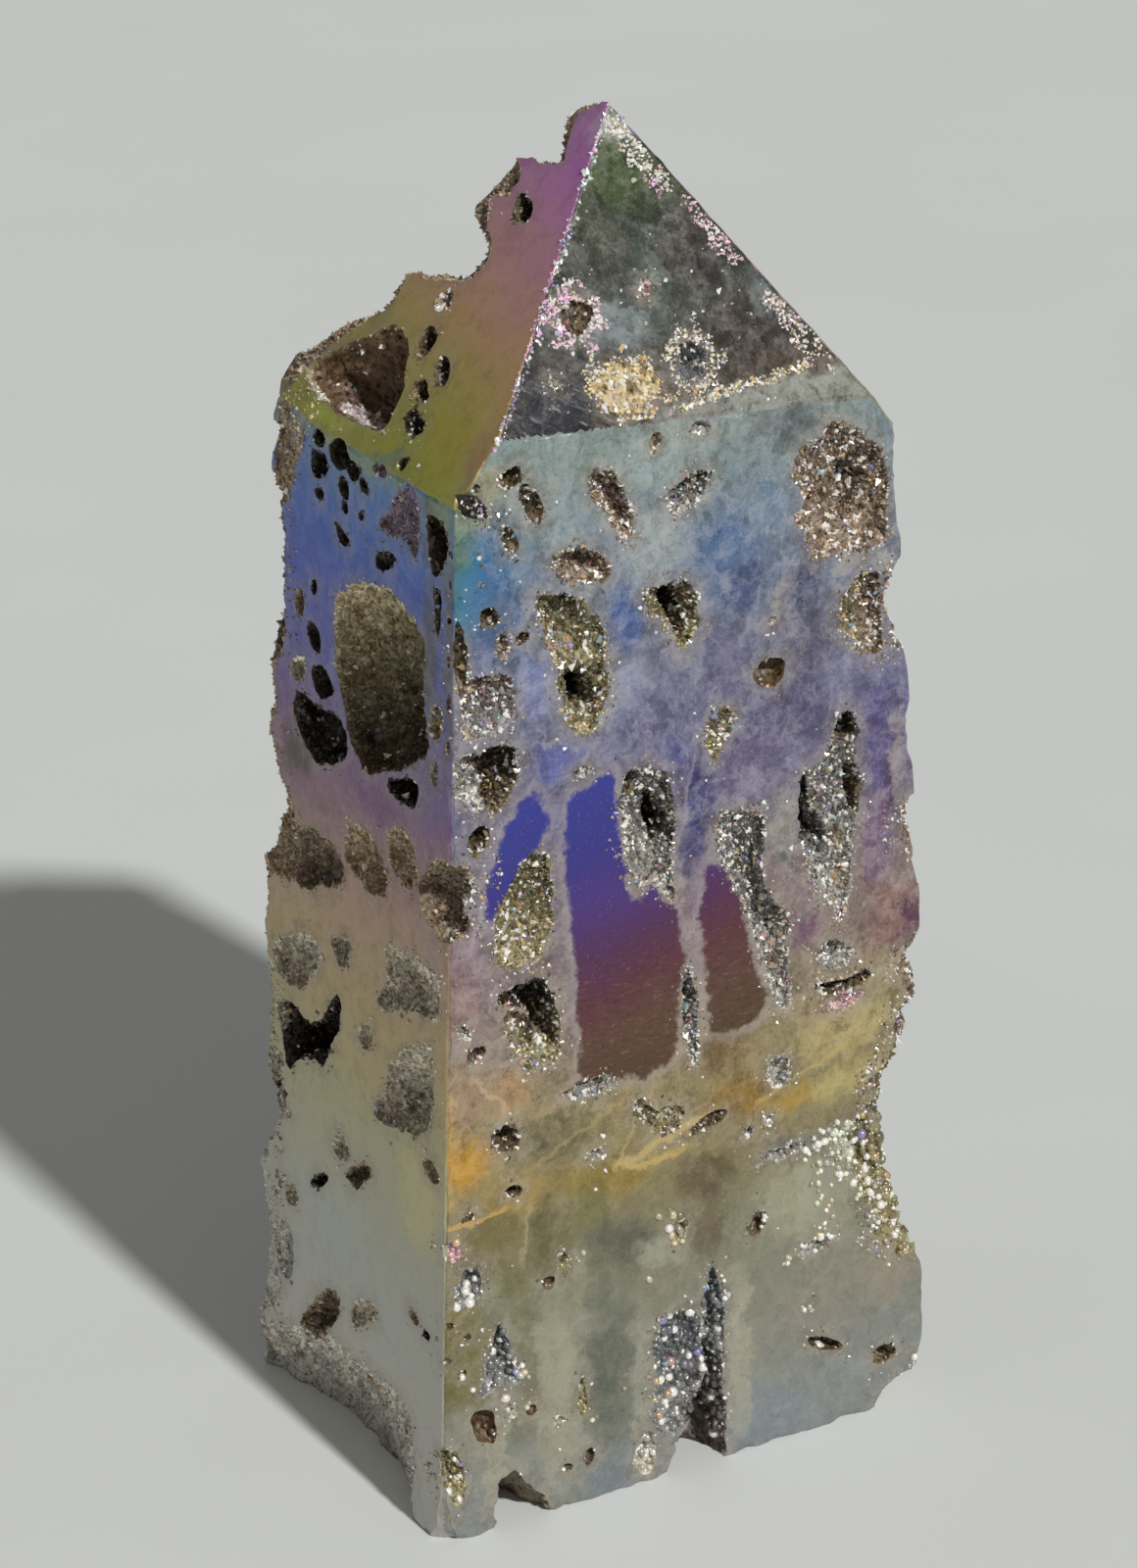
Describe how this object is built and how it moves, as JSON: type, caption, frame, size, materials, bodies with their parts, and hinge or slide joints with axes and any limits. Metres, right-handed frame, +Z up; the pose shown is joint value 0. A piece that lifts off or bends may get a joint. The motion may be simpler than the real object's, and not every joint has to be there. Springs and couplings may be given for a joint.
{
  "type": "druzy sphalerite tower",
  "caption": "Free-standing tapered stone tower sawn to a four-sided point, its polished faces full of crystal-lined hollows.",
  "frame": {"origin": "middle of the footprint's box, on the flat sawn base", "axes": "+Z up to the point, -Y is the broad polished front, -X is the narrow side that the picture shows"},
  "size_m": [0.0396, 0.028, 0.095],
  "materials": {
    "polished_stone": "polished, with an iridescent film that runs from blue through violet and tan to pale grey",
    "druse_crystal": "sparkling grains with an iridescent film"
  },
  "bodies": {
    "root": {"tower": "polished_stone", "druse_left_oval": "druse_crystal", "druse_shoulder_hollow": "druse_crystal", "druse_front_corner_druse": "druse_crystal", "druse_front_silver_seam": "druse_crystal", "druse_front_tall_vug": "druse_crystal", "druse_base_slot": "druse_crystal", "druse_right_arris_notch": "druse_crystal", "druse_right_hollow": "druse_crystal", "druse_back_great_hollow": "druse_crystal"}
  },
  "joints": []
}
